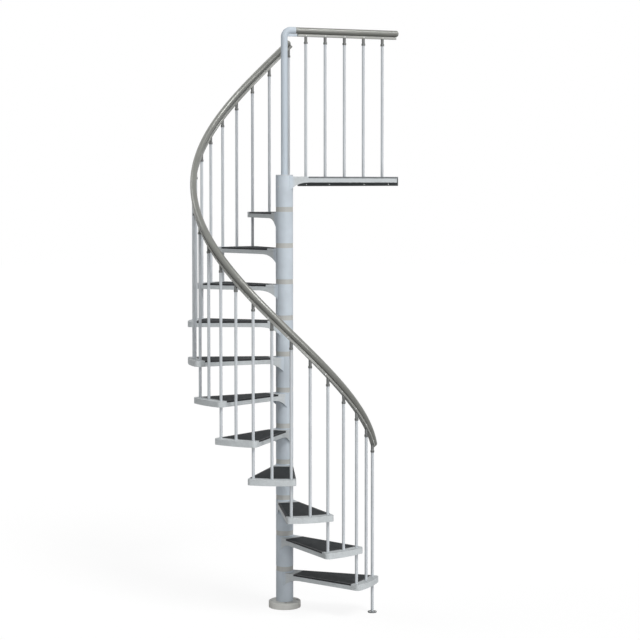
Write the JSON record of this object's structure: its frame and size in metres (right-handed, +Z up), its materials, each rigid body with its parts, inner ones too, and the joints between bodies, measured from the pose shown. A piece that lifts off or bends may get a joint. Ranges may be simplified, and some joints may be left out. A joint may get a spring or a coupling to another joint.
{
  "type": "spiral staircase",
  "caption": "Outdoor spiral staircase: a column of stacked hubs carries wedge treads and a top landing, with thin balusters and a round helical handrail.",
  "frame": {"origin": "centre of the base flange's underside, on the column's axis and on the ground", "axes": "+Z up the column; +Y along the landing's middle line to the wall that the landing is bolted to; +X to the right of that, on the handrail side of the landing"},
  "size_m": [1.2, 1.2641, 3.613],
  "materials": {
    "galvanised_steel": "light grey powder coat over galvanised steel",
    "spacer_ring": "warm grey satin",
    "deck_board": "anthracite composite with a fine texture",
    "rail_cover": "taupe grey satin",
    "connector": "dark grey satin",
    "dark_steel": "anthracite powder coat",
    "screw_steel": "bare stainless steel"
  },
  "bodies": {
    "root": {"base_flange": "galvanised_steel", "foot_flange": "galvanised_steel", "center_pole": "galvanised_steel", "spacer_rings": "spacer_ring", "tread_frame_01": "galvanised_steel", "tread_frame_02": "galvanised_steel", "tread_frame_03": "galvanised_steel", "tread_frame_04": "galvanised_steel", "tread_frame_05": "galvanised_steel", "tread_frame_06": "galvanised_steel", "tread_frame_07": "galvanised_steel", "tread_frame_08": "galvanised_steel", "tread_frame_09": "galvanised_steel", "tread_frame_10": "galvanised_steel", "tread_frame_11": "galvanised_steel", "tread_board_01": "deck_board", "tread_board_02": "deck_board", "tread_board_03": "deck_board", "tread_board_04": "deck_board", "tread_board_05": "deck_board", "tread_board_06": "deck_board", "tread_board_07": "deck_board", "tread_board_08": "deck_board", "tread_board_09": "deck_board", "tread_board_10": "deck_board", "tread_board_11": "deck_board", "landing_frame": "galvanised_steel", "landing_board": "deck_board", "landing_fixing_plate": "dark_steel", "hub_cap": "galvanised_steel", "hub_set_screw": "screw_steel", "newel_post": "galvanised_steel", "newel_bend": "galvanised_steel", "newel_bracket": "galvanised_steel", "stair_balusters": "galvanised_steel", "landing_balusters": "galvanised_steel", "stair_connectors": "connector", "landing_connectors": "connector", "stair_handrail": "rail_cover", "stair_rail_strip": "rail_cover", "landing_handrail": "rail_cover", "landing_rail_strip": "rail_cover", "rail_end_caps": "rail_cover"}
  },
  "joints": []
}
